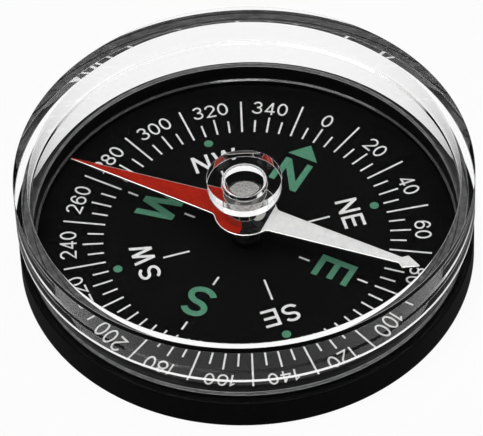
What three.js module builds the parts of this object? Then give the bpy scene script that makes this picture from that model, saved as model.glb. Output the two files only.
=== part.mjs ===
// A small pocket compass: a black cup with a printed dial, a painted steel needle that turns on a
// steel point, and a clear lid whose collar keeps the needle from jumping off the point.
// Millimetres, +Z up. The origin is the centre of the underside, and +Y is north on the dial.

import * as THREE from 'three';

// The case as a whole
const caseRadius = 22.5; // outside of the lid's upper wall, the widest part
const caseHeight = 11.65; // from the table to the flat top of the lid
const glueLine = 0.05; // the film of glue under the dial and between lid and cup

// Clear lid
const plateThickness = 1.5; // the window over the dial
const topEdgeRadius = 0.1; // the crisp edge round the top
const ceilingCornerRadius = 0.1; // rounding where the wall meets the window inside
const neckInset = 0.71; // how far the neck stands back under the upper wall
const neckThickness = 0.83; // from the inside of the wall to the outside of the neck
const grooveHeight = 3.31; // from the cup's ledge up to the overhanging upper wall
const overhangFall = 0.05; // how far the underside of the overhang drops towards the neck

// Black cup
const cupInset = 0.05; // how far the cup stands back under the lid
const cupHeight = 3.4; // from the table to the ledge under the groove
const cupEdgeRadius = 0.3; // rounding of the bottom edge
const rimHeight = 0.5; // the raised rim that carries the neck, above the ledge
const floorThickness = 0.87;
const footWidth = 3.4; // the flat ring that the compass stands on
const footHeight = 0.2; // how far the ring stands below the rest of the underside
const bossRadius = 1.3; // the stub on the floor that holds the pin
const bossHeight = 0.8;
const bossFloor = 0.45; // plastic left under the pin

// Dial card
const dialThickness = 0.3;
const dialClearance = 0.15; // round the edge, and round the boss in the middle

// Steel pin
const pinRadius = 0.5;
const pinFit = 0.03; // between the pin and its hole
const pinChamfer = 0.12; // at the lower end
const pinPointLength = 1.4; // the ground cone
const pinPointRadius = 0.08; // the rounded tip

// Bearing cap, the bright metal bush that the needle hangs from
const capRadius = 2.15;
const capHeight = 2.48; // above the needle
const capDrop = 2.5; // from the window down to the top of the cap
const capRoof = 1.0; // from the bearing point up to the top
const capTopRadius = 1.6; // the flat on top
const capChamferHeight = 0.4; // from the flat down to the full radius
const capFlangeRadius = 2.6; // the wider foot that rests on the needle
const capFlangeHeight = 0.45;
const capBoreRadius = 1.1; // the hollow that the pin goes up into
const capConeHeight = 1.6; // the cone at the top of that hollow
const capStemRadius = 1.5; // the part that goes through the needle
const capRivetRadius = 1.9; // the lip pressed over under the needle
const capRivetHeight = 0.28;
const pointGap = 0.05; // between the pin's tip and the bearing

// Collar under the lid, which catches the cap when the compass is turned over
const collarRadius = 3.65;
const collarClearance = 0.1; // round the cap
const collarHeight = 1.58; // from the window down to its lower end
const collarRecess = 1.15; // depth of the blind hole that the cap can rise into
const collarRootRadius = 0.3; // rounding where it meets the window

// Needle
const needleThickness = 0.25;
const needleBearing = 265.8; // where the red end points, clockwise from north
const needleFit = 0.04; // round the cap's stem, and above the rivet
const tipClearance = 1.96; // from the red tip to the wall
const tailShortfall = 0.55; // how much shorter the white arm is
const hubRadius = 3.1;
const armRootHalfWidth = 1.65; // where the arms' straight edges would meet at the middle
const redTipHalfWidth = 0.1;
const neckHalfWidth = 0.42; // just behind the arrowhead
const barbHalfWidth = 0.86; // the arrowhead's widest part
const headLength = 1.5; // from the barbs to the point
const barbSweep = 0.5; // how far the neck lies behind the barbs
const whiteTipHalfWidth = 0.1;
const armBlend = 1.5; // length of the curve from the hub into an arm

// Fineness of the round parts
const caseSegments = 80;
const smallSegments = 40;
const arcSteps = 2; // each round corner gets twice this many faces
const outlineSteps = 9;

// Sizes that follow from those above
const neckRadius = caseRadius - neckInset;
const chamberRadius = neckRadius - neckThickness;
const ceiling = caseHeight - plateThickness;
const cupRadius = caseRadius - cupInset;
const overhangLevel = cupHeight + grooveHeight;
const rimTop = cupHeight + rimHeight;
const floorTop = footHeight + floorThickness;
const bossTop = floorTop + bossHeight;
const capTop = ceiling - capDrop;
const needleTop = capTop - capHeight;
const needleBottom = needleTop - needleThickness;
const bearingPoint = capTop - capRoof;
const redLength = chamberRadius - tipClearance;
const whiteLength = redLength - tailShortfall;

const quarter = Math.PI / 2;

// A solid of revolution about +Z. The profile runs along the underside, up the outside and back.
function revolve(profile, segments) {
  const points = [];
  for (const point of profile.getPoints(arcSteps)) {
    const last = points[points.length - 1];
    if (!last || last.distanceTo(point) > 1e-6) {
      points.push(point);
    }
  }
  return new THREE.LatheGeometry(points, segments).rotateX(quarter);
}

function piece(name, geometry, look) {
  const mesh = new THREE.Mesh(geometry, new THREE.MeshStandardMaterial(look));
  mesh.name = name;
  return mesh;
}

// Black cup: foot ring, side wall, ledge, raised rim, floor and the stub for the pin.
function makeCup() {
  const footInside = cupRadius - cupEdgeRadius - footWidth;
  const profile = new THREE.Path();
  profile.moveTo(0, footHeight);
  profile.lineTo(footInside - footHeight, footHeight);
  profile.lineTo(footInside, 0);
  profile.absarc(cupRadius - cupEdgeRadius, cupEdgeRadius, cupEdgeRadius, -quarter, 0, false);
  profile.lineTo(cupRadius, cupHeight);
  profile.lineTo(neckRadius, cupHeight);
  profile.lineTo(neckRadius, rimTop);
  profile.lineTo(chamberRadius, rimTop);
  profile.lineTo(chamberRadius, floorTop);
  profile.lineTo(bossRadius, floorTop);
  profile.lineTo(bossRadius, bossTop);
  profile.lineTo(pinRadius + pinFit, bossTop);
  profile.lineTo(pinRadius + pinFit, footHeight + bossFloor);
  profile.lineTo(0, footHeight + bossFloor);
  return piece('base_case', revolve(profile, caseSegments), { color: 0x161616, roughness: 0.5 });
}

// Dial card: a flat disc on the floor of the cup, with a hole for the stub.
function makeDial() {
  const inner = bossRadius + dialClearance;
  const outer = chamberRadius - dialClearance;
  const bottom = floorTop + glueLine;
  const top = bottom + dialThickness;
  const profile = new THREE.Path();
  profile.moveTo(inner, bottom);
  profile.lineTo(outer, bottom);
  profile.lineTo(outer, top);
  profile.lineTo(inner, top);
  profile.lineTo(inner, bottom);
  return piece('dial_card', revolve(profile, caseSegments), { color: 0x151515, roughness: 0.85 });
}

// Pivot pin: pressed into the stub, with a ground point at the top.
function makePin() {
  const bottom = footHeight + bossFloor + glueLine;
  const tip = bearingPoint - pointGap;
  const profile = new THREE.Path();
  profile.moveTo(0, bottom);
  profile.lineTo(pinRadius - pinChamfer, bottom);
  profile.lineTo(pinRadius, bottom + pinChamfer);
  profile.lineTo(pinRadius, tip - pinPointLength);
  profile.absarc(0, tip - pinPointRadius, pinPointRadius, 0, quarter, false);
  const look = { color: 0xb9bcc0, roughness: 0.3, metalness: 1 };
  return piece('pivot_pin', revolve(profile, smallSegments), look);
}

// Bearing cap: a metal bush with a hollow cone inside, riveted through the needle.
function makeCap() {
  const rivetTop = needleBottom - needleFit;
  const rivetBottom = rivetTop - capRivetHeight;
  const shoulder = needleTop + needleFit;
  const flangeTop = shoulder + capFlangeHeight;
  const profile = new THREE.Path();
  profile.moveTo(0, bearingPoint);
  profile.lineTo(capBoreRadius, bearingPoint - capConeHeight);
  profile.lineTo(capBoreRadius, rivetBottom);
  profile.lineTo(capRivetRadius, rivetBottom);
  profile.lineTo(capRivetRadius, rivetTop);
  profile.lineTo(capStemRadius, rivetTop);
  profile.lineTo(capStemRadius, shoulder);
  profile.lineTo(capFlangeRadius, shoulder);
  profile.lineTo(capFlangeRadius, flangeTop);
  profile.lineTo(capRadius, flangeTop);
  profile.lineTo(capRadius, capTop - capChamferHeight);
  profile.lineTo(capTopRadius, capTop);
  profile.lineTo(0, capTop);
  const look = { color: 0xb4b2ac, roughness: 0.25, metalness: 1 };
  return piece('bearing_cap', revolve(profile, smallSegments), look);
}

// Half-width of an arm whose edge is straight from the middle of the needle to a given end.
function armHalfWidth(distance, endDistance, endHalfWidth) {
  return armRootHalfWidth + ((endHalfWidth - armRootHalfWidth) * distance) / endDistance;
}

// Distance from the middle at which an arm's edge comes out of the round hub.
function armStart(endDistance, endHalfWidth) {
  const slope = (endHalfWidth - armRootHalfWidth) / endDistance;
  const a = 1 + slope * slope;
  const b = armRootHalfWidth * slope;
  const c = armRootHalfWidth * armRootHalfWidth - hubRadius * hubRadius;
  return (-b + Math.sqrt(b * b - a * c)) / a;
}

// The place on the hub's circle where the curve into an arm begins.
function hubAngle(endDistance, endHalfWidth) {
  const start = armStart(endDistance, endHalfWidth);
  const corner = Math.atan2(start, armHalfWidth(start, endDistance, endHalfWidth));
  return corner - armBlend / hubRadius / 2;
}

// Needle: one stamped strip, with a long red arm towards +Y, a round hub and a white arrow behind it.
function makeNeedle() {
  const barbLevel = whiteLength - headLength;
  const neckLevel = barbLevel - barbSweep;
  const redCorner = armStart(redLength, redTipHalfWidth);
  const redEdge = redCorner + armBlend;
  const whiteCorner = armStart(neckLevel, neckHalfWidth);
  const whiteEdge = whiteCorner + armBlend;
  const redAngle = hubAngle(redLength, redTipHalfWidth);
  const whiteAngle = hubAngle(neckLevel, neckHalfWidth);
  const redAt = (distance) => armHalfWidth(distance, redLength, redTipHalfWidth);
  const whiteAt = (distance) => armHalfWidth(distance, neckLevel, neckHalfWidth);

  const outline = new THREE.Shape();
  outline.moveTo(hubRadius, 0);
  outline.absarc(0, 0, hubRadius, 0, redAngle, false);
  outline.quadraticCurveTo(redAt(redCorner), redCorner, redAt(redEdge), redEdge);
  outline.lineTo(redTipHalfWidth, redLength - redTipHalfWidth);
  outline.absarc(0, redLength - redTipHalfWidth, redTipHalfWidth, 0, 2 * quarter, false);
  outline.lineTo(-redAt(redEdge), redEdge);
  outline.quadraticCurveTo(
    -redAt(redCorner),
    redCorner,
    -hubRadius * Math.cos(redAngle),
    hubRadius * Math.sin(redAngle),
  );
  outline.absarc(0, 0, hubRadius, 2 * quarter - redAngle, 2 * quarter + whiteAngle, false);
  outline.quadraticCurveTo(-whiteAt(whiteCorner), -whiteCorner, -whiteAt(whiteEdge), -whiteEdge);
  outline.lineTo(-neckHalfWidth, -neckLevel);
  outline.lineTo(-barbHalfWidth, -barbLevel);
  outline.lineTo(-whiteTipHalfWidth, -whiteLength);
  outline.lineTo(whiteTipHalfWidth, -whiteLength);
  outline.lineTo(barbHalfWidth, -barbLevel);
  outline.lineTo(neckHalfWidth, -neckLevel);
  outline.lineTo(whiteAt(whiteEdge), -whiteEdge);
  outline.quadraticCurveTo(
    whiteAt(whiteCorner),
    -whiteCorner,
    hubRadius * Math.cos(whiteAngle),
    -hubRadius * Math.sin(whiteAngle),
  );
  outline.absarc(0, 0, hubRadius, -whiteAngle, 0, false);
  const hole = new THREE.Path();
  hole.absarc(0, 0, capStemRadius + needleFit, 0, 4 * quarter, false);
  outline.holes.push(hole);

  const blade = { depth: needleThickness, bevelEnabled: false, curveSegments: outlineSteps };
  const look = { color: 0xa51d10, roughness: 0.4, metalness: 0.1 };
  const needle = piece('compass_needle', new THREE.ExtrudeGeometry(outline, blade), look);
  needle.position.z = needleBottom;
  needle.rotation.z = -THREE.MathUtils.degToRad(needleBearing);
  return needle;
}

// Clear lid: window, collar, upper wall, and a narrower neck glued onto the cup's rim.
function makeLid() {
  const collarBore = capRadius + collarClearance;
  const collarBottom = ceiling - collarHeight;
  const collarRoof = collarBottom + collarRecess;
  const neckBottom = rimTop + glueLine;
  const profile = new THREE.Path();
  profile.moveTo(0, collarRoof);
  profile.lineTo(collarBore, collarRoof);
  profile.lineTo(collarBore, collarBottom);
  profile.lineTo(collarRadius, collarBottom);
  profile.absarc(
    collarRadius + collarRootRadius,
    ceiling - collarRootRadius,
    collarRootRadius,
    2 * quarter,
    quarter,
    true,
  );
  profile.absarc(
    chamberRadius - ceilingCornerRadius,
    ceiling - ceilingCornerRadius,
    ceilingCornerRadius,
    quarter,
    0,
    true,
  );
  profile.lineTo(chamberRadius, neckBottom);
  profile.lineTo(neckRadius, neckBottom);
  profile.lineTo(neckRadius, overhangLevel - overhangFall);
  profile.lineTo(caseRadius, overhangLevel);
  profile.absarc(
    caseRadius - topEdgeRadius,
    caseHeight - topEdgeRadius,
    topEdgeRadius,
    0,
    quarter,
    false,
  );
  profile.lineTo(0, caseHeight);
  const look = { color: 0xf2f6f6, roughness: 0.05, transparent: true, opacity: 0.25 };
  return piece('clear_lid', revolve(profile, caseSegments), look);
}

const compass = new THREE.Group();
compass.add(makeCup());
compass.add(makeDial());
compass.add(makePin());
compass.add(makeCap());
compass.add(makeNeedle());
compass.add(makeLid());

export default compass;
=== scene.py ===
# %% [markdown]
# # A pocket compass in Blender
# The solids of the compass come in as a fixed frame: a black cup, a dial, a pin, a needle with its
# bright cap, and a clear lid. Each is drawn again here as a finer surface of the same size, with the
# roundings, print and finishes that the solids leave out. Sizes are in millimetres until a mesh is made.

# %% Load the frame
import math

import bmesh
import bpy
import numpy as np
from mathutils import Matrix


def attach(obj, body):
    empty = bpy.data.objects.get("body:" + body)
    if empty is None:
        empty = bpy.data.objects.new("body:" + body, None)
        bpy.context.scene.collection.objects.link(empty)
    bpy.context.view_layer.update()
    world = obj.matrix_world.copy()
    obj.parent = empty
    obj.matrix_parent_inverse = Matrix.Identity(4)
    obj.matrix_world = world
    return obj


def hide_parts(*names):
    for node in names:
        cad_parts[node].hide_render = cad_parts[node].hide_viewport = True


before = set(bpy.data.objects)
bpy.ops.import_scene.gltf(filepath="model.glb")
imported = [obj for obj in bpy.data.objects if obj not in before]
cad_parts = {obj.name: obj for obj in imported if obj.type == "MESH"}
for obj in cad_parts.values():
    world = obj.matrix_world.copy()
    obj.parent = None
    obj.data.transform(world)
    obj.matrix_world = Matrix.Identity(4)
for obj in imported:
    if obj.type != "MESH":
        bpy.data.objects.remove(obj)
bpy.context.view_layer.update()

# %% [markdown]
# ## The camera
# A long lens looks down on the compass from the south-east of its dial. The direction, the distance
# and the small roll are set so that the ellipse of the lid and the marks of the dial fall in
# the right places. A constraint could aim the camera, but plain numbers are easier to read back. The
# columns of an object's matrix are its own three axes, so one helper can place the camera and the lamps.

# %% Camera
MM = 0.001


def stand(thing, across, upwards, backwards, place):
    """Puts a camera or a lamp at a place in millimetres. Its own axes x, y and z become the columns of its
    matrix, and it looks along minus z."""
    matrix = np.eye(4)
    matrix[:3, :3] = np.column_stack([across, upwards, backwards])
    matrix[:3, 3] = np.array(place) * MM
    thing.matrix_world = matrix.T.tolist()
    bpy.context.scene.collection.objects.link(thing)


CAMERA_AZIMUTH = 30.056
CAMERA_ELEVATION = 48.538
CAMERA_ROLL = -2.61
CAMERA_DISTANCE = 440.0
LENS, SENSOR_WIDTH = 330.61, 36.0
CLIP_START = 10.0
AIM_RIGHT = -0.438
AIM_UP = 3.299

azimuth, elevation = math.radians(CAMERA_AZIMUTH), math.radians(CAMERA_ELEVATION)
back = np.array([math.sin(azimuth) * math.cos(elevation),
                 -math.cos(azimuth) * math.cos(elevation),
                 math.sin(elevation)])
right = np.array([math.cos(azimuth), math.sin(azimuth), 0.0])
up = np.cross(back, right)
target = AIM_RIGHT * right + AIM_UP * up
place = CAMERA_DISTANCE * back
towards = place - target
towards /= np.linalg.norm(towards)
side = np.cross(up, towards)
side /= np.linalg.norm(side)
above = np.cross(towards, side)
roll = math.radians(CAMERA_ROLL)
rolled_side = math.cos(roll) * side + math.sin(roll) * above
rolled_above = math.cos(roll) * above - math.sin(roll) * side

lens = bpy.data.cameras.new("camera")
lens.lens = LENS
lens.sensor_width = SENSOR_WIDTH
lens.sensor_fit = "HORIZONTAL"
lens.clip_start = CLIP_START * MM
camera = bpy.data.objects.new("camera", lens)
stand(camera, rolled_side, rolled_above, towards, place)
bpy.context.scene.camera = camera
print("camera at", np.round(place, 1), "mm")

# %% [markdown]
# ## From numbers to surfaces
# Nearly every piece is turned: a profile in the plane of radius and height, carried round the axis.
# Blender's Screw and Spin could do that, but a grid of points worked out with numpy shows the formula,
# and its faces are sure to point outwards. Two helpers make the profile: one rounds its corners, and
# one puts extra points close to the ends of long straight runs, so that smooth shading stays flat there.

# %% Grids and profiles
STRAIGHT = 0.999999
NEARLY_ZERO = 1e-12
SAME_POINT = 1e-6


def grid_faces(rows, columns, closed_rows=False, closed_columns=True):
    """Corner numbers of the quads between neighbouring rows and columns of a grid of points."""
    row = np.arange(rows if closed_rows else rows - 1)[:, None]
    column = np.arange(columns if closed_columns else columns - 1)[None, :]
    next_row, next_column = (row + 1) % rows, (column + 1) % columns
    corners = np.broadcast_arrays(row * columns + column, row * columns + next_column,
                                  next_row * columns + next_column, next_row * columns + column)
    return np.stack(corners, -1).reshape(-1, 4).tolist()


def rounded(corners, steps=8):
    """Each corner (radius, height, rounding) becomes an arc that touches both of its sides. The arc's
    centre is on the corner's bisector, at rounding / sin(half the corner's angle). Points that fall
    together are dropped."""
    corner = np.array(corners, float)
    point, rounding = corner[:, :2], corner[:, 2:]
    before = np.roll(point, 1, 0) - point
    after = np.roll(point, -1, 0) - point
    before /= np.linalg.norm(before, axis=1, keepdims=True)
    after /= np.linalg.norm(after, axis=1, keepdims=True)
    half = 0.5 * np.arccos(np.clip((before * after).sum(1, keepdims=True), -STRAIGHT, STRAIGHT))
    middle = before + after + NEARLY_ZERO
    middle /= np.linalg.norm(middle, axis=1, keepdims=True)
    centre = point + middle * rounding / np.sin(half)
    start = point + before * rounding / np.tan(half) - centre
    end = point + after * rounding / np.tan(half) - centre
    turn = math.pi - 2 * half[:, None]
    share = np.linspace(0, 1, steps + 1)[None, :, None]
    from_start = np.sin((1 - share) * turn) * start[:, None]
    from_end = np.sin(share * turn) * end[:, None]
    arc = (from_start + from_end) / np.sin(turn)
    points = (centre[:, None] + arc).reshape(-1, 2)
    fresh = np.linalg.norm(points - np.roll(points, 1, 0), axis=1) > SAME_POINT
    return points[fresh]


def supported(profile, margin=0.02):
    """The profile with a point close to both ends of each straight run longer than ten margins."""
    step = np.diff(profile, axis=0)
    length = np.linalg.norm(step, axis=1, keepdims=True)
    near = profile[:-1] + step * margin / length
    far = profile[1:] - step * margin / length
    rows = np.stack([profile[:-1], near, far], 1)
    is_long = length > 10 * margin
    keep = np.column_stack([np.ones(len(step), bool), is_long, is_long])
    return np.vstack([rows[keep], profile[-1:]])


def turned(profile, segments=288):
    """Points of a profile carried round the axis: (r cos a, r sin a, z) for every point and angle."""
    angle = np.linspace(0, 2 * math.pi, segments, endpoint=False)
    radius, height = profile[:, :1], profile[:, 1:]
    points = np.stack([radius * np.cos(angle), radius * np.sin(angle), height + 0 * angle], -1)
    return points.reshape(-1, 3), grid_faces(len(profile), segments)


sample = rounded([(0, 0, 0), (2, 0, 1), (2, 2, 0)])
print("a triangle with one rounded corner:", len(sample), "points")

# %% [markdown]
# ## From surfaces to pieces
# A piece is a mesh at the origin with its place in its points, that rides on the case or on the needle.
# Merging its doubles closes the poles of a turned shape, and the seam of a profile that ends where it
# began. Smooth shading with sharp edges keeps crisp corners crisp. Faces are told apart by where their
# middles lie, so that a piece can have several finishes without being cut up.

# %% Pieces
MERGE_DISTANCE = 1e-8
SHARP_ANGLE = 35


def add_piece(name, points, faces, materials, body, slot_name, stands_for=()):
    """A mesh piece at the origin, with merged seams and poles, that rides on a body of the frame."""
    mesh = bpy.data.meshes.new(name)
    mesh.from_pydata((np.asarray(points) * MM).tolist(), [], faces)
    shell = bmesh.new()
    shell.from_mesh(mesh)
    bmesh.ops.remove_doubles(shell, verts=shell.verts, dist=MERGE_DISTANCE)
    shell.to_mesh(mesh)
    shell.free()
    mesh.shade_smooth()
    mesh.set_sharp_from_angle(angle=math.radians(SHARP_ANGLE))
    for material in materials:
        mesh.materials.append(material)
    piece = bpy.data.objects.new(name, mesh)
    bpy.context.scene.collection.objects.link(piece)
    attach(piece, body)
    if stands_for:
        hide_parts(*stands_for)
    print(name, len(mesh.polygons), "faces")
    return piece


def face_middles(piece):
    """The middle of every face of a piece, in millimetres."""
    middles = np.empty(3 * len(piece.data.polygons), np.float32)
    piece.data.polygons.foreach_get("center", middles)
    return middles.reshape(-1, 3) / MM


def coat_faces(piece, numbers):
    """Gives every face the material with its number in the piece's list."""
    piece.data.polygons.foreach_set("material_index", np.asarray(numbers, np.int32))
    print(piece.name, "faces by finish:", np.bincount(numbers).tolist())


print("scale:", MM, "m per mm, edges sharp from", SHARP_ANGLE, "degrees")

# %% [markdown]
# ## Finishes
# All finishes are procedural. A short helper makes a material whose Principled shader takes plain values
# on its own sockets. A second one adds a fine noise that gives the surface its grain, as bump and as
# small changes of roughness, and a third lets the colour wander a little. The noise reads Object
# coordinates, so it stays on the piece when the needle turns.

# %% Material helpers
GRAIN_DETAIL, MOTTLE_DETAIL = 3.0, 4.0
NOISE_LOW, NOISE_HIGH = 0.3, 0.7
MIRROR_TINT = 0.1


def finish(name, **sockets):
    """A material with one Principled shader. Each keyword names a socket, with _ for a space."""
    material = bpy.data.materials.new(name)
    material.use_nodes = True
    shader = material.node_tree.nodes["Principled BSDF"]
    for socket, value in sockets.items():
        shader.inputs[socket.replace("_", " ")].default_value = value
    return material, shader


def noise_of(tree, size, detail):
    """Noise with features of one size in millimetres, on the piece's Object coordinates."""
    place_node = tree.nodes.new("ShaderNodeTexCoord")
    noise = tree.nodes.new("ShaderNodeTexNoise")
    noise.inputs["Scale"].default_value = 1 / (size * MM)
    noise.inputs["Detail"].default_value = detail
    tree.links.new(place_node.outputs["Object"], noise.inputs["Vector"])
    return noise


def grain(material, shader, size, depth, rough):
    """Noise of one grain size in millimetres: bump of a depth, and a roughness between two values."""
    tree = material.node_tree
    noise = noise_of(tree, size, GRAIN_DETAIL)
    bump = tree.nodes.new("ShaderNodeBump")
    bump.inputs["Strength"].default_value = 1.0
    bump.inputs["Distance"].default_value = depth * MM
    tree.links.new(noise.outputs["Fac"], bump.inputs["Height"])
    tree.links.new(bump.outputs["Normal"], shader.inputs["Normal"])
    spread = tree.nodes.new("ShaderNodeMapRange")
    spread.inputs["From Min"].default_value = NOISE_LOW
    spread.inputs["From Max"].default_value = NOISE_HIGH
    spread.inputs["To Min"].default_value, spread.inputs["To Max"].default_value = rough
    tree.links.new(noise.outputs["Fac"], spread.inputs["Value"])
    tree.links.new(spread.outputs["Result"], shader.inputs["Roughness"])


def mottle(material, shader, size, dark, light):
    """A colour that wanders between two near values, as print and moulded plastic do."""
    tree = material.node_tree
    noise = noise_of(tree, size, MOTTLE_DETAIL)
    ramp = tree.nodes.new("ShaderNodeValToRGB")
    first, last = ramp.color_ramp.elements
    first.position, first.color = NOISE_LOW, (*dark, 1)
    last.position, last.color = NOISE_HIGH, (*light, 1)
    tree.links.new(noise.outputs["Fac"], ramp.inputs["Fac"])
    tree.links.new(ramp.outputs["Color"], shader.inputs["Base Color"])


def clear_plastic(name, roughness, ior):
    """Clear plastic that bends what is seen through it, mirrors little, and lets the lamps' light straight
    through to the pieces inside."""
    material, shader = finish(name, Base_Color=(1, 1, 1, 1), Roughness=roughness, IOR=ior,
                              Transmission_Weight=1.0,
                              Specular_Tint=(MIRROR_TINT, MIRROR_TINT, MIRROR_TINT, 1))
    tree = material.node_tree
    path = tree.nodes.new("ShaderNodeLightPath")
    open_air = tree.nodes.new("ShaderNodeBsdfTransparent")
    mix = tree.nodes.new("ShaderNodeMixShader")
    output = tree.nodes["Material Output"]
    tree.links.new(path.outputs["Is Shadow Ray"], mix.inputs["Fac"])
    tree.links.new(shader.outputs["BSDF"], mix.inputs[1])
    tree.links.new(open_air.outputs["BSDF"], mix.inputs[2])
    tree.links.new(mix.outputs["Shader"], output.inputs["Surface"])
    return material


print("noise between", NOISE_LOW, "and", NOISE_HIGH, "drives grain and colour")

# %% [markdown]
# ## The black cup
# A moulded cup carries everything: a foot ring below, a plain side wall, a ledge and a raised rim that the
# lid's neck is glued onto, a floor, and a stub in the middle that holds the pin. It could be cut from
# cylinders with Booleans, but one turned profile holds every rounding. The moulding is satin black, so its
# colour is nearly black all over and the grain does the work. The top of the rim is painted a lighter grey,
# a painted sheen for the satin shine that the rim shows down the lid's neck. It is a finish of the faces
# there, because it has no thickness to speak of.

# %% Cup
CASE_RADIUS = 22.5
CUP_RADIUS = 22.45
CHAMBER_RADIUS = 20.96
RIM_RADIUS = 21.79
SEAM_LEVEL = 3.4
RIM_TOP = 3.9
FOOT_HEIGHT = 0.2
FOOT_INSIDE, FOOT_SLOPE = 18.75, 0.2
FLOOR_TOP = 1.07
BOSS_RADIUS, BOSS_TOP = 1.3, 1.87
PIN_HOLE_RADIUS, PIN_HOLE_FLOOR = 0.53, 0.65
SHEEN_MARGIN = 0.005

black_plastic, shader = finish("black_plastic", Specular_IOR_Level=0.1)
mottle(black_plastic, shader, size=0.6, dark=(0.001, 0.001, 0.0011), light=(0.0025, 0.0025, 0.0028))
grain(black_plastic, shader, size=0.12, depth=0.004, rough=(0.34, 0.5))

cup_profile = rounded([
    (0, FOOT_HEIGHT, 0),
    (FOOT_INSIDE - FOOT_SLOPE, FOOT_HEIGHT, 0.1),
    (FOOT_INSIDE, 0, 0.08),
    (CUP_RADIUS, 0, 0.3),
    (CUP_RADIUS, SEAM_LEVEL, 0.12),
    (RIM_RADIUS, SEAM_LEVEL, 0.04),
    (RIM_RADIUS, RIM_TOP, 0.06),
    (CHAMBER_RADIUS, RIM_TOP, 0.06),
    (CHAMBER_RADIUS, FLOOR_TOP, 0.1),
    (BOSS_RADIUS, FLOOR_TOP, 0.05),
    (BOSS_RADIUS, BOSS_TOP, 0.1),
    (PIN_HOLE_RADIUS, BOSS_TOP, 0.05),
    (PIN_HOLE_RADIUS, PIN_HOLE_FLOOR, 0),
    (0, PIN_HOLE_FLOOR, 0),
])
# Painted sheen: the faces on the rim's top are coloured a lighter grey, standing in for light seen on the rim
# down the neck.
painted_rim_sheen, shader = finish("painted_rim_sheen", Specular_IOR_Level=0.2)
mottle(painted_rim_sheen, shader, size=0.8, dark=(0.045, 0.045, 0.045), light=(0.125, 0.125, 0.125))
cup = add_piece("cup", *turned(supported(cup_profile)), [black_plastic, painted_rim_sheen], "case", "case_black",
                ["base_case"])
coat_faces(cup, np.where(face_middles(cup)[:, 2] > RIM_TOP - SHEEN_MARGIN, 1, 0))

# %% [markdown]
# ## The dial card
# A thin black card lies on the floor of the cup. Its face is matt, with a fine tooth that takes the print.
# The cut edge is a little rounded. A flat disc would do for the view from above, but the card has an edge
# and a hole round the stub, so it is a turned profile that closes on itself.

# %% Dial card
DIAL_BOTTOM, DIAL_TOP = 1.12, 1.42
DIAL_INNER, DIAL_OUTER = 1.45, 20.81

black_card, shader = finish("black_card", Specular_IOR_Level=0.03)
mottle(black_card, shader, size=0.35, dark=(0.0016, 0.0016, 0.0016), light=(0.0038, 0.0038, 0.0038))
grain(black_card, shader, size=0.08, depth=0.003, rough=(0.55, 0.75))

card_corners = rounded([
    (DIAL_INNER, DIAL_BOTTOM, 0.02),
    (DIAL_OUTER, DIAL_BOTTOM, 0.02),
    (DIAL_OUTER, DIAL_TOP, 0.08),
    (DIAL_INNER, DIAL_TOP, 0.04),
])
card_profile = np.vstack([card_corners, card_corners[:1]])
add_piece("dial_face", *turned(supported(card_profile)), [black_card], "case", "dial_print", ["dial_card"])

# %% [markdown]
# ## The bead of glue
# A thin bead of dried glue runs round the cup's wall just above the card, with a sloping top. It is smooth
# and uneven, so it catches the light in a broken line. A curve with a round bevel could make it, but the
# slope decides what it mirrors, so it has a profile with three corners of its own.

# %% Glue above the card's edge
BEAD_LOW, BEAD_NOSE, BEAD_HIGH, BEAD_REACH = 1.75, 2.0, 2.13, 0.26
BEAD_SINK = 0.01
BEAD_ROOT = CHAMBER_RADIUS + BEAD_SINK
dried_glue, shader = finish("dried_glue", Base_Color=(0.01, 0.01, 0.01, 1), Specular_IOR_Level=0.5)
grain(dried_glue, shader, size=0.6, depth=0.012, rough=(0.08, 0.2))
bead_profile = rounded([
    (BEAD_ROOT, BEAD_HIGH, 0),
    (CHAMBER_RADIUS - BEAD_REACH, BEAD_NOSE, 0.04),
    (BEAD_ROOT, BEAD_LOW, 0),
])
bead_profile = np.vstack([bead_profile, bead_profile[:1]])
add_piece("glue_bead", *turned(bead_profile), [dried_glue], "case", "dial_print")

# %% [markdown]
# ## The print
# Ticks, numbers and letters stand on the card as a film of ink. An image could carry them, but ink made as
# thin solids stays sharp at any distance. A slab is an outline with a top and a bottom. All marks lie on
# the dial by their bearing, clockwise from north, with their tops outwards, and sink a hair into the card.

# %% Slabs and where they go
INK_THICKNESS, INK_SINK = 0.02, 0.002
INK_BOTTOM = DIAL_TOP - INK_SINK


def on_dial(points, bearing, radius):
    """Turns drawn points (right, up) so that up points outwards at a bearing, and shifts them there."""
    turn = np.radians(bearing)
    outwards = np.stack([np.sin(turn), np.cos(turn)], -1)
    clockwise = np.stack([np.cos(turn), -np.sin(turn)], -1)
    points = np.asarray(points, float)
    return points[..., :1] * clockwise + (points[..., 1:2] + radius) * outwards


def slab(outline):
    """A flat solid: the outline at the ink's bottom and top, joined by side walls."""
    outline = np.asarray(outline, float)
    count = len(outline)
    following = np.roll(outline, -1, 0)
    area = np.sum(outline[:, 0] * following[:, 1] - outline[:, 1] * following[:, 0])
    ring = outline if area > 0 else outline[::-1]
    points = np.vstack([np.column_stack([ring, np.full(count, INK_BOTTOM)]),
                        np.column_stack([ring, np.full(count, INK_BOTTOM + INK_THICKNESS)])])
    corner = np.arange(count)
    return points, grid_faces(2, count) + [corner[::-1].tolist(), (corner + count).tolist()]


def joined(parts):
    """Several solids as one list of points and one list of faces."""
    points, faces, shift = [], [], 0
    for part_points, part_faces in parts:
        points.append(part_points)
        faces += [[corner + shift for corner in face] for face in part_faces]
        shift += len(part_points)
    return np.vstack(points), faces


def bars(bearings, inner, outer, width):
    """Radial bars from one radius to another, one at each bearing."""
    half = width / 2
    drawn = np.array([(-half, inner), (half, inner), (half, outer), (-half, outer)])
    return [slab(on_dial(drawn, bearing, 0)) for bearing in bearings]


print("ink from", INK_BOTTOM, "to", INK_BOTTOM + INK_THICKNESS, "mm")

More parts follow.
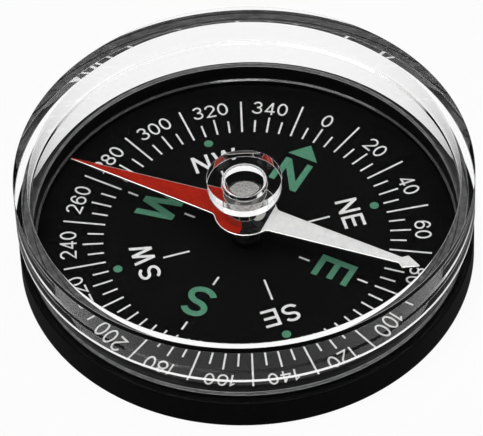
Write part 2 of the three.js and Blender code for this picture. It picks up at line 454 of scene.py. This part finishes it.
# %% [markdown]
# ## Inks and the degree ring
# The dial is printed in white and in a dull green. Screen ink lies uneven on a card, so both colours wander
# a little. A tick stands at every fifth degree: long between the numbers, shorter below them, and shortest
# in between. An Array modifier could repeat one tick, but three lists of bearings say the pattern plainly.

# %% Inks and ticks
white_ink, shader = finish("white_ink", Specular_IOR_Level=0.1)
mottle(white_ink, shader, size=0.25, dark=(0.64, 0.64, 0.64), light=(0.78, 0.78, 0.77))
grain(white_ink, shader, size=0.08, depth=0.002, rough=(0.5, 0.65))
green_ink, shader = finish("green_ink", Specular_IOR_Level=0.05)
mottle(green_ink, shader, size=0.25, dark=(0.064, 0.195, 0.122), light=(0.09, 0.25, 0.16))
grain(green_ink, shader, size=0.08, depth=0.002, rough=(0.5, 0.65))

TICK_INNER = 14.2
LONG_TICK, MEDIUM_TICK, SHORT_TICK = 18.4, 16.25, 15.8
TICK_WIDTH = 0.185
ticks = bars(np.arange(10, 360, 20), TICK_INNER, LONG_TICK, TICK_WIDTH)
ticks += bars(np.arange(0, 360, 20), TICK_INNER, MEDIUM_TICK, TICK_WIDTH)
ticks += bars(np.arange(5, 360, 10), TICK_INNER, SHORT_TICK, TICK_WIDTH)
add_piece("degree_ticks", *joined(ticks), [white_ink], "case", "dial_print")

# %% [markdown]
# ## Dashes, dots and the arrow mark
# Short white dashes lie on both sides of E, S and W, and a longer one inside each pair of letters. A green
# dot marks each half quarter, and a green triangle marks north. They are slabs as well, so nothing new is
# needed: a bar for a dash, a circle's outline for a dot, three corners for the triangle.

# %% Dashes, dots and the arrow mark
DASH_WIDTH = 0.2
INNER_DASH, OUTER_DASH, QUARTER_DASH = (5.85, 7.0), (12.3, 13.4), (5.9, 8.6)
CARDINALS = [90, 180, 270]
QUARTERS = [45, 135, 225, 315]
dashes = bars(CARDINALS, *INNER_DASH, DASH_WIDTH) + bars(CARDINALS, *OUTER_DASH, DASH_WIDTH)
dashes += bars(QUARTERS, *QUARTER_DASH, DASH_WIDTH)
add_piece("dial_dashes", *joined(dashes), [white_ink], "case", "dial_print")

DOT_RADIUS, DOT_PLACE, DOT_CORNERS = 0.45, 13.25, 32
ARROW_HALF, ARROW_FOOT, ARROW_POINT = 1.62, 11.9, 13.75
dot_angle = np.linspace(0, 2 * math.pi, DOT_CORNERS, endpoint=False)
dot = DOT_RADIUS * np.column_stack([np.cos(dot_angle), np.sin(dot_angle)])
dots = [slab(on_dial(dot, bearing, DOT_PLACE)) for bearing in QUARTERS]
arrow = slab([(-ARROW_HALF, ARROW_FOOT), (ARROW_HALF, ARROW_FOOT), (0, ARROW_POINT)])
add_piece("green_marks", *joined(dots + [arrow]), [green_ink], "case", "dial_print")

# %% [markdown]
# ## Strokes of the pen
# A ribbon is a flat stroke of even width carried along a path, as a drawing pen leaves it. Blender's text
# objects could write the dial, but the printed characters are narrow and drawn with an even line, which
# few fonts have. Where two strokes of a digit cross, an exact Boolean joins them, so that each character is
# one closed solid.

# %% Strokes
SHARPEST_MITRE = 0.3


def bend(centre, reach, start, end, count=28):
    """Points of an ellipse from one angle to another, in degrees."""
    angle = np.radians(np.linspace(start, end, count))
    return np.array(centre) + np.array(reach) * np.column_stack([np.cos(angle), np.sin(angle)])


def ribbon(path, stroke, box, closed=False):
    """A flat stroke: the path shifted half a stroke to both sides, across the mean of the directions
    that meet at each point, and kept inside the character's box."""
    path = np.array(path, float)
    if closed:
        before, after = path - np.roll(path, 1, 0), np.roll(path, -1, 0) - path
    else:
        step = np.diff(path, axis=0)
        before, after = np.vstack([step[:1], step]), np.vstack([step, step[-1:]])
    before = before / np.linalg.norm(before, axis=1, keepdims=True)
    after = after / np.linalg.norm(after, axis=1, keepdims=True)
    across = np.column_stack([-(before + after)[:, 1], (before + after)[:, 0]])
    across /= np.linalg.norm(across, axis=1, keepdims=True)
    square_on = np.column_stack([-after[:, 1], after[:, 0]])
    mitre = np.clip(np.sum(across * square_on, 1, keepdims=True), SHARPEST_MITRE, 1)
    left = np.clip(path + across * stroke / 2 / mitre, (0, 0), box)
    right = np.clip(path - across * stroke / 2 / mitre, (0, 0), box)
    low, high = np.zeros((len(path), 1)), np.ones((len(path), 1))
    rails = [np.hstack([right, low]), np.hstack([right, high]),
             np.hstack([left, high]), np.hstack([left, low])]
    points = np.stack(rails, 1).reshape(-1, 3)
    faces = grid_faces(len(path), 4, closed_rows=closed)
    if not closed:
        last = 4 * (len(path) - 1)
        faces += [[3, 2, 1, 0], [last, last + 1, last + 2, last + 3]]
    return points, faces


def plate(outline):
    """An outline one unit thick, for characters with straight sides."""
    points, faces = slab(outline)
    points[:, 2] = np.where(points[:, 2] > INK_BOTTOM + INK_THICKNESS / 2, 1, 0)
    return points, faces


def united(parts):
    """Overlapping strokes as one closed solid, by exact Boolean union."""
    things = []
    for points, faces in parts:
        mesh = bpy.data.meshes.new("stroke")
        mesh.from_pydata(points.tolist(), [], faces)
        thing = bpy.data.objects.new("stroke", mesh)
        bpy.context.scene.collection.objects.link(thing)
        things.append(thing)
    for other in things[1:]:
        union = things[0].modifiers.new("union", "BOOLEAN")
        union.operation, union.solver, union.object = "UNION", "EXACT", other
    depsgraph = bpy.context.evaluated_depsgraph_get()
    mesh = bpy.data.meshes.new_from_object(things[0].evaluated_get(depsgraph))
    points = np.empty(3 * len(mesh.vertices), np.float32)
    mesh.vertices.foreach_get("co", points)
    faces = [list(polygon.vertices) for polygon in mesh.polygons]
    for thing in things:
        bpy.data.meshes.remove(thing.data)
    bpy.data.meshes.remove(mesh)
    return points.reshape(-1, 3).astype(float), faces


print("half an ellipse:", len(bend((0, 0), (1, 2), 0, 180)), "points")

# %% [markdown]
# ## Characters
# The characters are drawn in a box one unit high. Digits and the S are ribbons along ellipses and straight
# lines; N, E and W have straight outlines. Each is drawn once and copied to every label that needs it.

# %% Characters
def digits(width, stroke):
    """The digits that the dial needs, each with its own width, in a box one unit high."""
    half, middle, waist = stroke / 2, width / 2, 0.53
    box = (width, 1)
    top, low = 1 - half, half
    upper = ((middle, (top + waist) / 2), (0.43 * width - half, (top - waist) / 2))
    lower = ((middle, (low + waist) / 2), (middle - half, (waist - low) / 2))
    whole = ((middle, 0.5), (middle - half, 0.5 - half))
    bowl = ((middle, 0.32), (middle - half, 0.32 - half))
    hook = ((middle, top - 0.26), (middle - half, 0.26))
    stem = 0.72 * width
    corners = 40
    ring = (0, 360 - 360 / corners, corners)
    return {
        "0": (width, [ribbon(bend(*whole, *ring), stroke, box, True)]),
        "1": (0.5 * width, [ribbon([(half, 0.76), (0.4 * width, 0.98), (0.4 * width, 0)],
                                   stroke, box)]),
        "2": (width, [ribbon([*bend(*hook, 172, -32), (half, half), (width, half)], stroke, box)]),
        "3": (width, [ribbon(bend(*upper, 165, -95), stroke, box),
                      ribbon(bend(*lower, 95, -165), stroke, box)]),
        "4": (width, [ribbon([(width, 0.26), (half, 0.26), (stem, 0.98)], stroke, box),
                      ribbon([(stem, 0), (stem, 1)], stroke, box)]),
        "6": (width, [ribbon(bend(*bowl, *ring), stroke, box, True),
                      ribbon(bend(*whole, 200, 32), stroke, box)]),
        "8": (width, [ribbon(bend(*upper, *ring), stroke, box, True),
                      ribbon(bend(*lower, *ring), stroke, box, True)]),
    }


def capitals(stroke):
    """N, E, S and W with one stroke width, each with its own width, in a box one unit high."""
    n, e, s, w = 0.78, 0.72, 0.76, 1.12
    lean = 2.0 * stroke
    n_outline = [(0, 0), (stroke, 0), (stroke, 1 - lean), (n - stroke, 0), (n, 0),
                 (n, 1), (n - stroke, 1), (n - stroke, lean), (stroke, 1), (0, 1)]
    half, middle_arm = stroke / 2, 0.94 * e
    e_outline = [(0, 0), (e, 0), (e, stroke), (stroke, stroke), (stroke, 0.5 - half),
                 (middle_arm, 0.5 - half), (middle_arm, 0.5 + half), (stroke, 0.5 + half),
                 (stroke, 1 - stroke), (e, 1 - stroke), (e, 1), (0, 1)]
    foot, wide = 0.27 * w, 1.08 * stroke
    notch = 2 * wide / (w - wide)
    inside = foot - wide / 2 + (w / 2 - foot) * notch
    under = 1 - wide / 2 / (w / 2 - foot)
    w_outline = [(0, 1), (foot - wide / 2, 0), (foot + wide / 2, 0), (w / 2, under),
                 (w - foot - wide / 2, 0), (w - foot + wide / 2, 0), (w, 1), (w - wide, 1),
                 (w - inside, notch), (w / 2 + wide / 2, 1), (w / 2 - wide / 2, 1), (inside, notch), (wide, 1)]
    waist = 0.52
    upper = ((s / 2, (1 - half + waist) / 2), (0.46 * s - half, (1 - half - waist) / 2))
    lower = ((s / 2, (half + waist) / 2), (s / 2 - half, (waist - half) / 2))
    s_path = np.vstack([bend(*upper, 22, 270), bend(*lower, 90, -158)[1:]])
    return {"N": (n, [plate(n_outline)]), "E": (e, [plate(e_outline)]),
            "S": (s, [ribbon(s_path, stroke, (s, 1))]), "W": (w, [plate(w_outline)])}


def label(word, characters, height, gap, bearing, radius):
    """A straight word on the dial, its middle at a radius and its top outwards."""
    widths = [characters[letter][0] for letter in word]
    left = -(sum(widths) + gap * (len(word) - 1)) / 2
    parts = []
    for letter, width in zip(word, widths):
        points, faces = characters[letter][1]
        drawn = (points[:, :2] + (left, -0.5)) * height
        level = INK_BOTTOM + INK_THICKNESS * points[:, 2:]
        parts.append((np.hstack([on_dial(drawn, bearing, radius), level]), faces))
        left += width + gap
    return parts


def inked(drawn):
    """Every character of a set as one closed solid, with its width."""
    return {key: (width, united(parts)) for key, (width, parts) in drawn.items()}


print("digits:", *digits(1, 0.1), "letters:", *capitals(0.1))

# %% [markdown]
# ## Labels
# The degree numbers stand over the shorter ticks, the four main letters are green and bold, and the half
# quarters are white pairs. A Curve modifier could bend the words round the dial, but in the print each label
# is straight and turned as a whole. A screen print is never quite true to the ticks, so a few labels are
# shifted or turned by a hair.

# %% Labels
DIGIT_HEIGHT, DIGIT_WIDTH, DIGIT_STROKE, DIGIT_GAP = 1.65, 0.64, 0.112, 0.14
NUMBER_RADIUS = 17.55
NUMBERS_EAST, NUMBERS_NORTH = -0.08, -0.1
ink_digits = inked(digits(DIGIT_WIDTH, DIGIT_STROKE))
numbers = []
for bearing in range(0, 360, 20):
    numbers += label(str(bearing), ink_digits, DIGIT_HEIGHT, DIGIT_GAP, bearing, NUMBER_RADIUS)
numbers = [(points + (NUMBERS_EAST, NUMBERS_NORTH, 0), faces) for points, faces in numbers]
add_piece("degree_numbers", *joined(numbers), [white_ink], "case", "dial_print")

CARDINAL_HEIGHT, CARDINAL_STROKE, CARDINAL_RADIUS = 3.85, 0.165, 9.75
CARDINAL_BEARINGS = (0, 90, 181.6, 270)
CARDINAL_INWARDS = (0.38, 0.0, 0.23, 0.1)
bold = inked(capitals(CARDINAL_STROKE))
letters = []
for letter, bearing, inwards in zip("NESW", CARDINAL_BEARINGS, CARDINAL_INWARDS):
    letters += label(letter, bold, CARDINAL_HEIGHT, 0, bearing, CARDINAL_RADIUS - inwards)
add_piece("cardinal_letters", *joined(letters), [green_ink], "case", "dial_print")

QUARTER_HEIGHT, QUARTER_STROKE, QUARTER_RADIUS, QUARTER_GAP = 2.2, 0.14, 10.8, 0.2
QUARTER_WORDS = ("NE", "SE", "SW", "NW")
QUARTER_TURNS, QUARTER_INWARDS = (1.2, -1.2, 0.0, 0.0), (0.1, 0.0, 0.38, 0.0)
light = inked(capitals(QUARTER_STROKE))
pairs = []
for word, bearing, lean, inwards in zip(QUARTER_WORDS, QUARTERS, QUARTER_TURNS, QUARTER_INWARDS):
    pairs += label(word, light, QUARTER_HEIGHT, QUARTER_GAP, bearing + lean, QUARTER_RADIUS - inwards)
add_piece("quarter_letters", *joined(pairs), [white_ink], "case", "dial_print")

# %% [markdown]
# ## The pin
# A ground steel pin stands in the stub and carries the needle on its point. A cylinder and a cone could be
# joined, but as a turned profile the pin has its rounded shoulder and its slightly blunt point as well.

# %% Pin
PIN_RADIUS, PIN_BOTTOM, PIN_SHOULDER, PIN_TIP = 0.5, 0.7, 5.2, 6.6
BLUNT_RADIUS, BLUNT_HEIGHT = 0.07, 0.01
PIN_SEGMENTS = 64
bright_steel, shader = finish("bright_steel", Base_Color=(0.62, 0.62, 0.61, 1), Metallic=1.0)
grain(bright_steel, shader, size=0.05, depth=0.001, rough=(0.18, 0.32))
pin_profile = rounded([
    (0, PIN_BOTTOM, 0),
    (PIN_RADIUS, PIN_BOTTOM, 0.12),
    (PIN_RADIUS, PIN_SHOULDER, 0.1),
    (BLUNT_RADIUS, PIN_TIP - BLUNT_HEIGHT, 0.05),
    (0, PIN_TIP, 0),
])
add_piece("pin", *turned(supported(pin_profile), PIN_SEGMENTS), [bright_steel], "case", "pin_steel",
          ["pivot_pin"])

# %% [markdown]
# ## The needle's outline
# The needle is one stamped strip of spring steel: a round hub, a long red point, and a white arm that ends
# in an arrowhead. It could be traced as a curve and filled, but half its width as a function of the distance
# along it gives clean rows of quads. The hub's circle and the arms' straight edges run into each other by a
# smooth maximum.

# %% Needle outline
NEEDLE_TOP, NEEDLE_THICKNESS = 5.17, 0.25
NEEDLE_BEARING = 265.8
HUB_RADIUS, HOLE_RADIUS, HUB_END = 3.1, 1.54, 4.4
ARM_ROOT = 1.65
RED_LENGTH, RED_TIP = 19.0, 0.1
NECK_PLACE, NECK_WIDTH, BARB_PLACE, BARB_WIDTH = 16.45, 0.42, 16.95, 0.86
WHITE_LENGTH, WHITE_TIP = 18.45, 0.1
HUB_BLEND = 0.3


def smooth_max(a, b, blend):
    """The larger of two values, with a soft change where they are nearly equal."""
    return (a + b + np.sqrt((a - b) ** 2 + blend ** 2)) / 2


def half_width(along):
    """Half the needle's width at a distance from the hub, positive towards the red end: on the hub the
    root of radius squared less distance squared, on an arm a straight taper. Near the hub it is the smooth
    maximum of both, less a little for what the blend adds."""
    hub = np.sqrt(np.clip(HUB_RADIUS ** 2 - along ** 2, 0, None))
    red = np.interp(along, [0, RED_LENGTH - RED_TIP], [ARM_ROOT, RED_TIP])
    past_tip = np.clip(along - RED_LENGTH + RED_TIP, 0, RED_TIP)
    tip = np.sqrt(np.clip(RED_TIP ** 2 - past_tip ** 2, 0, None))
    red = np.where(along > RED_LENGTH - RED_TIP, tip, red)
    white = np.interp(-along, [0, NECK_PLACE, BARB_PLACE, WHITE_LENGTH],
                      [ARM_ROOT, NECK_WIDTH, BARB_WIDTH, WHITE_TIP])
    arm = np.where(along >= 0, red, white)
    middle = smooth_max(hub, arm, HUB_BLEND) - HUB_BLEND ** 2 / 8
    return np.where(np.abs(along) < HUB_END, middle, arm)


print("needle half width at the hub:", np.round(half_width(np.array([0.0])), 3), "mm")

# %% [markdown]
# ## The needle's surface
# The plan is a ring of quads round the hole in the hub, with an arm grid at each end: across an arm, x is a
# share from -1 to 1 of the half width at that distance. The ring goes in straight steps from the hole to the
# hub's edge. A filled face with a hole would need fewer faces, but it would cut into slivers when bevelled.

# %% Needle plan
ACROSS, RING_ROWS, HUB_STEPS = 9, 6, 65
RED_ROWS, TIP_ROWS, TIP_START = 30, 6, 0.2
NECK_ROWS, BARB_ROWS, BARB_START = 26, 4, 17.4
share = np.linspace(-1, 1, ACROSS)
side_steps = HUB_END * np.sin(np.linspace(-math.pi / 2, math.pi / 2, HUB_STEPS))[1:-1]
chord = half_width(np.array([HUB_END]))[0] * share[::-1]
back_chord = half_width(np.array([-HUB_END]))[0] * share
loop = np.vstack([
    np.column_stack([half_width(side_steps), side_steps]),
    np.column_stack([chord, np.full(ACROSS, HUB_END)]),
    np.column_stack([-half_width(side_steps[::-1]), side_steps[::-1]]),
    np.column_stack([back_chord, np.full(ACROSS, -HUB_END)]),
])
around = np.arctan2(loop[:, 1], loop[:, 0])
hole = HOLE_RADIUS * np.column_stack([np.cos(around), np.sin(around)])
step = np.linspace(0, 1, RING_ROWS)[:, None, None]
ring_points = (hole + step * (loop - hole)).reshape(-1, 2)
ring_faces = [face[::-1] for face in grid_faces(RING_ROWS, len(loop))]


def arm_grid(along):
    """Points (share x half width, along) of an arm, row by row outwards."""
    points = np.stack([share * half_width(along)[:, None], along[:, None] + 0 * share], -1)
    faces = grid_faces(len(along), ACROSS, closed_columns=False)
    return points.reshape(-1, 2), faces if along[-1] > 0 else [face[::-1] for face in faces]


tip_steps = RED_TIP * np.sin(np.linspace(TIP_START, math.pi / 2, TIP_ROWS))
red_rows = np.concatenate([np.linspace(HUB_END, RED_LENGTH - RED_TIP, RED_ROWS),
                           RED_LENGTH - RED_TIP + tip_steps])
white_rows = -np.concatenate([np.linspace(HUB_END, NECK_PLACE, NECK_ROWS), [BARB_PLACE],
                              np.linspace(BARB_START, WHITE_LENGTH, BARB_ROWS)])
plan, needle_faces = joined([(ring_points, ring_faces), arm_grid(red_rows), arm_grid(white_rows)])
turn = math.radians(-NEEDLE_BEARING)
needle_points = np.column_stack([plan[:, 0] * math.cos(turn) - plan[:, 1] * math.sin(turn),
                                 plan[:, 0] * math.sin(turn) + plan[:, 1] * math.cos(turn),
                                 np.full(len(plan), NEEDLE_TOP)])
print("needle plan:", len(plan), "points, from", -WHITE_LENGTH, "to", RED_LENGTH, "mm")

# %% [markdown]
# ## The needle's finish
# One arm is painted red and the other white. Between the two paints a band of the hub is bare steel, coloured
# nearly black: a painted reflection of the dark cap and dial that the bare steel mirrors there. A mask in one
# material could part the paints, but two planes that cut the faces give borders that are straight and sharp.
# Solidify gives the strip its thickness, and Bevel breaks the cut edges. These are bare and bright, because
# the strip was painted before it was stamped.

# %% Needle
RED_BORDER, WHITE_BORDER = -0.55, -2.4
RED_COAT, WHITE_COAT, BARE_COAT, DARK_REFLECTION_COAT = 0, 1, 2, 3
BEVEL_WIDTH, BEVEL_SEGMENTS, BEVEL_ANGLE = 0.07, 3, 50

red_paint, shader = finish("red_paint", Specular_IOR_Level=0.08)
mottle(red_paint, shader, size=0.5, dark=(0.26, 0.009, 0.003), light=(0.34, 0.013, 0.004))
grain(red_paint, shader, size=0.15, depth=0.003, rough=(0.35, 0.5))
white_paint, shader = finish("white_paint", Specular_IOR_Level=0.15)
mottle(white_paint, shader, size=0.5, dark=(0.63, 0.63, 0.63), light=(0.72, 0.72, 0.71))
grain(white_paint, shader, size=0.15, depth=0.003, rough=(0.35, 0.5))
cut_steel, shader = finish("cut_steel", Base_Color=(0.82, 0.8, 0.77, 1), Metallic=1.0)
grain(cut_steel, shader, size=0.06, depth=0.002, rough=(0.15, 0.25))
# Painted reflection: the bare band of the hub is near black, standing in for the dark cap and dial that it
# mirrors.
dark_reflection_steel, shader = finish("dark_reflection_steel", Base_Color=(0.018, 0.018, 0.02, 1), Metallic=1.0)
grain(dark_reflection_steel, shader, size=0.1, depth=0.002, rough=(0.2, 0.35))

needle = add_piece("needle", needle_points, needle_faces, [red_paint, white_paint, cut_steel, dark_reflection_steel],
                   "needle", "needle_paint", ["compass_needle"])
red_way = np.array([-math.sin(turn), math.cos(turn), 0])
shell = bmesh.new()
shell.from_mesh(needle.data)
for border in (RED_BORDER, WHITE_BORDER):
    bmesh.ops.bisect_plane(shell, geom=[*shell.verts, *shell.edges, *shell.faces],
                           dist=MERGE_DISTANCE, plane_co=border * MM * red_way, plane_no=red_way)
shell.to_mesh(needle.data)
shell.free()
along = face_middles(needle) @ red_way
# Faces between the two borders get the near-black painted reflection.
not_red = np.where(along < WHITE_BORDER, WHITE_COAT, DARK_REFLECTION_COAT)
coat_faces(needle, np.where(along > RED_BORDER, RED_COAT, not_red))

thickness = needle.modifiers.new("thickness", "SOLIDIFY")
thickness.thickness = NEEDLE_THICKNESS * MM
thickness.offset = -1.0
thickness.material_offset_rim = BARE_COAT
edges = needle.modifiers.new("edges", "BEVEL")
edges.width = BEVEL_WIDTH * MM
edges.segments = BEVEL_SEGMENTS
edges.use_clamp_overlap = False
edges.limit_method = "ANGLE"
edges.angle_limit = math.radians(BEVEL_ANGLE)
edges.material = BARE_COAT
print("needle thickness:", NEEDLE_THICKNESS, "mm")

# %% [markdown]
# ## The bearing cap
# A plated brass bush is riveted through the hub. The pin's point stands in the hollow cone inside it. The
# cap is one turned profile again: hollow below, lip under the needle, cylinder, chamfer and flat top. Its
# side is polished and mirrors the needle and the dial. The top keeps the fine marks of the lathe. The
# chamfer is smooth and painted nearly black, a painted reflection of the dark space above it. Separate rings
# could carry these finishes, but it is simpler to give them to the faces by their height.

# %% Cap
CAP_RADIUS, CAP_TOP = 2.15, 7.65
CAP_HEAD_RADIUS, CAP_CHAMFER = 1.62, 0.4
CAP_BORE, BEARING_POINT, CONE_FOOT = 1.1, 6.65, 5.05
STEM_RADIUS, RIVET_RADIUS = 1.5, 1.9
RIVET_BOTTOM, RIVET_TOP, CAP_SHOULDER = 4.60, 4.88, 5.21
SIDE_COAT, TOP_COAT, CHAMFER_COAT, COAT_MARGIN = 0, 1, 2, 0.02
CAP_SEGMENTS = 128

plated_brass, shader = finish("plated_brass", Base_Color=(0.58, 0.57, 0.55, 1), Metallic=1.0)
grain(plated_brass, shader, size=0.2, depth=0.0015, rough=(0.06, 0.14))
turned_top, shader = finish("turned_top", Metallic=1.0)
mottle(turned_top, shader, size=0.2, dark=(0.17, 0.165, 0.16), light=(0.45, 0.44, 0.43))
grain(turned_top, shader, size=0.07, depth=0.006, rough=(0.45, 0.6))
# Painted reflection: the chamfer's near-black colour stands in for the dark space above that it mirrors.
dark_chamfer_reflection, shader = finish("dark_chamfer_reflection", Base_Color=(0.07, 0.068, 0.065, 1), Metallic=1.0)
grain(dark_chamfer_reflection, shader, size=0.2, depth=0.0015, rough=(0.1, 0.2))
cap_profile = rounded([
    (0, BEARING_POINT, 0),
    (CAP_BORE, CONE_FOOT, 0.15),
    (CAP_BORE, RIVET_BOTTOM, 0.06),
    (RIVET_RADIUS, RIVET_BOTTOM, 0.1),
    (RIVET_RADIUS, RIVET_TOP, 0.05),
    (STEM_RADIUS, RIVET_TOP, 0.02),
    (STEM_RADIUS, CAP_SHOULDER, 0.02),
    (CAP_RADIUS, CAP_SHOULDER, 0.02),
    (CAP_RADIUS, CAP_TOP - CAP_CHAMFER, 0.04),
    (CAP_HEAD_RADIUS, CAP_TOP, 0.04),
    (0, CAP_TOP, 0),
])
cap = add_piece("cap", *turned(supported(cap_profile), CAP_SEGMENTS), [plated_brass, turned_top, dark_chamfer_reflection],
                "needle", "cap_metal", ["bearing_cap"])
height = face_middles(cap)[:, 2]
below_top = np.where(height > CAP_TOP - CAP_CHAMFER + COAT_MARGIN, CHAMFER_COAT, SIDE_COAT)
coat_faces(cap, np.where(height > CAP_TOP - COAT_MARGIN, TOP_COAT, below_top))

# %% [markdown]
# ## The clear lid
# Window, side wall and the collar over the cap are one moulding. What shows in its wall is the dial and the
# cup, bent by the plastic, so the profile follows the real one closely: a thick window with a crisp edge, an
# upright wall that overhangs a groove, and a narrower neck on the cup's rim. Light that enters near the edge
# is guided down inside the wall: where it leaves through the overhang the rim looks white, and where it runs
# on into the neck it looks black. The bore is a little wider at the ceiling, which puts the bent images of
# the dial where they belong. The neck reaches a hair into the rim, because glue leaves no air there. A glass
# shader on a thin sheet would be quicker to trace, but none of these bands would show in it.

# %% Lid
CLEAR_IOR = 1.49
LID_TOP, CEILING = 11.65, 10.15
LID_BORE, BORE_WIDENING, NECK_RADIUS = 20.96, 0.2, 21.79
OVERHANG, OVERHANG_FALL = 6.71, 0.05
COLLAR_RADIUS, COLLAR_BORE, COLLAR_BOTTOM, COLLAR_ROOF = 3.65, 2.25, 8.45, 9.72
GLUE_REACH = 0.01
LID_SEGMENTS = 360

clear_lid = clear_plastic("clear_lid", 0.0, CLEAR_IOR)
lid_profile = rounded([
    (0, COLLAR_ROOF, 0),
    (COLLAR_BORE, COLLAR_ROOF, 0.4),
    (COLLAR_BORE, COLLAR_BOTTOM, 0.04),
    (COLLAR_RADIUS, COLLAR_BOTTOM, 0.04),
    (COLLAR_RADIUS, CEILING, 0.05),
    (LID_BORE + BORE_WIDENING, CEILING, 0.02),
    (LID_BORE, RIM_TOP - GLUE_REACH, 0),
    (NECK_RADIUS, RIM_TOP - GLUE_REACH, 0),
    (NECK_RADIUS, OVERHANG - OVERHANG_FALL, 0.04),
    (CASE_RADIUS, OVERHANG, 0.05),
    (CASE_RADIUS, LID_TOP, 0.04),
    (0, LID_TOP, 0),
])
add_piece("lid", *turned(supported(lid_profile), LID_SEGMENTS), [clear_lid], "case", "lid_clear",
          ["clear_lid"])

# %% [markdown]
# ## The floor
# The compass stands on plain white paper. Paper lit to full white would need strong lamps, and these would
# wash out the dial. So the floor is white by itself where it is seen directly or through the lid, with a
# share of lit paper that keeps the shadow, and dim where metal mirrors it. The Light Path node tells these
# rays apart. Three short helpers keep the node trees of the floor and the sky readable.

# %% Floor
FLOOR_SIZE = 3000.0
SHADOW_SHARE = 0.06
GLOSS_LEVEL = 0.12


def plug(tree, value, socket):
    """Links another node's output to a socket, or sets a plain number on it."""
    if isinstance(value, bpy.types.NodeSocket):
        tree.links.new(value, socket)
    else:
        socket.default_value = value


def worked_out(tree, operation, first, second):
    """The output of a Math node with two values."""
    node = tree.nodes.new("ShaderNodeMath")
    node.operation = operation
    plug(tree, first, node.inputs[0])
    plug(tree, second, node.inputs[1])
    return node.outputs["Value"]


def between(tree, value, low, high, start=0.0, end=1.0):
    """The output of a Map Range node: low where the value is at the start, high where it is at the end."""
    node = tree.nodes.new("ShaderNodeMapRange")
    sockets = {"Value": value, "From Min": start, "From Max": end, "To Min": low, "To Max": high}
    for name, setting in sockets.items():
        plug(tree, setting, node.inputs[name])
    return node.outputs["Result"]


corner = FLOOR_SIZE / 2 * MM
floor_corners = [(-corner, -corner, 0), (corner, -corner, 0), (corner, corner, 0), (-corner, corner, 0)]
floor_mesh = bpy.data.meshes.new("floor")
floor_mesh.from_pydata(floor_corners, [], [(0, 1, 2, 3)])
floor = bpy.data.objects.new("floor", floor_mesh)
bpy.context.scene.collection.objects.link(floor)

paper, shader = finish("paper", Base_Color=(0.85, 0.85, 0.85, 1), Roughness=0.9, Specular_IOR_Level=0.0)
tree = paper.node_tree
path = tree.nodes.new("ShaderNodeLightPath").outputs
seen = worked_out(tree, "MAXIMUM", path["Is Camera Ray"], path["Is Transmission Ray"])
glow = tree.nodes.new("ShaderNodeEmission")
plug(tree, between(tree, seen, GLOSS_LEVEL, 1.0), glow.inputs["Strength"])
blend = tree.nodes.new("ShaderNodeMixShader")
plug(tree, between(tree, seen, path["Is Glossy Ray"], 1 - SHADOW_SHARE), blend.inputs["Fac"])
tree.links.new(shader.outputs["BSDF"], blend.inputs[1])
tree.links.new(glow.outputs["Emission"], blend.inputs[2])
tree.links.new(blend.outputs["Shader"], tree.nodes["Material Output"].inputs["Surface"])
floor_mesh.materials.append(paper)
print("floor", FLOOR_SIZE, "mm")

# %% [markdown]
# ## The sky
# The sky is white near the horizon and dark overhead, as in a studio with a white sweep, so that the window
# doesn't mirror a bright sky. It is plain white to the camera. Light that is guided through the lid's wall
# passes at least four clear surfaces, and meets the white sweep again there, unless it has been scattered on
# its way. Scattered light gets half the sky, and metal that mirrors it gets a small share. A picture of a
# studio could light the scene too, but these few values are easier to change.

# %% World
HORIZON_WHITE, HORIZON_DARK = 0.56, 0.68
OVERHEAD = 0.02
CLEAR_SURFACES = 4
HALF_STEP = 0.5
DIFFUSE_LEVEL = 0.5

world = bpy.data.worlds.new("studio")
bpy.context.scene.world = world
world.use_nodes = True
tree = world.node_tree
direction = tree.nodes.new("ShaderNodeTexCoord")
split = tree.nodes.new("ShaderNodeSeparateXYZ")
tree.links.new(direction.outputs["Generated"], split.inputs["Vector"])
path = tree.nodes.new("ShaderNodeLightPath").outputs

sweep = between(tree, split.outputs["Z"], 1.0, OVERHEAD, HORIZON_WHITE, HORIZON_DARK)
scattered = worked_out(tree, "GREATER_THAN", path["Diffuse Depth"], HALF_STEP)
passed = worked_out(tree, "GREATER_THAN", path["Transmission Depth"], CLEAR_SURFACES - HALF_STEP)
guided = worked_out(tree, "GREATER_THAN", passed, scattered)
sky = worked_out(tree, "MAXIMUM", guided, sweep)
sky = worked_out(tree, "MAXIMUM", path["Is Camera Ray"], sky)
mirrored = worked_out(tree, "GREATER_THAN", path["Is Glossy Ray"], path["Is Transmission Ray"])
share_seen = worked_out(tree, "MULTIPLY", between(tree, scattered, 1.0, DIFFUSE_LEVEL),
                        between(tree, mirrored, 1.0, GLOSS_LEVEL))
background = tree.nodes["Background"]
background.inputs["Color"].default_value = (1, 1, 1, 1)
plug(tree, worked_out(tree, "MULTIPLY", sky, share_seen), background.inputs["Strength"])
print("sky white below", HORIZON_WHITE, "and dark above", HORIZON_DARK)

# %% [markdown]
# ## The lamps
# Three soft lamps light the compass: a large one from the left front, a weaker one from the right, and a
# small one nearly overhead, whose glints are crisper. A sun would light evenly too, but its hard shadows
# would fall across the dial.

# %% Lamps
def soft_lamp(name, place, size, watts):
    """A square soft lamp at a place in millimetres, aimed at the middle of the compass."""
    lamp = bpy.data.lights.new(name, "AREA")
    lamp.energy = watts
    lamp.size = size * MM
    axis = np.array(place, float) / np.linalg.norm(place)
    flat = np.cross((0, 0, 1), axis)
    flat /= np.linalg.norm(flat)
    stand(bpy.data.objects.new(name, lamp), flat, np.cross(axis, flat), axis, place)
    print(name, watts, "W at", place)


soft_lamp("key_lamp", place=(-120, -160, 420), size=260, watts=0.62)
soft_lamp("fill_lamp", place=(330, 60, 300), size=240, watts=0.36)
soft_lamp("top_lamp", place=(40, -70, 440), size=80, watts=0.22)

# %% [markdown]
# ## The end
# Standard shows each colour as it was written.

# %% Close the scene
bpy.context.scene.view_settings.view_transform = "Standard"
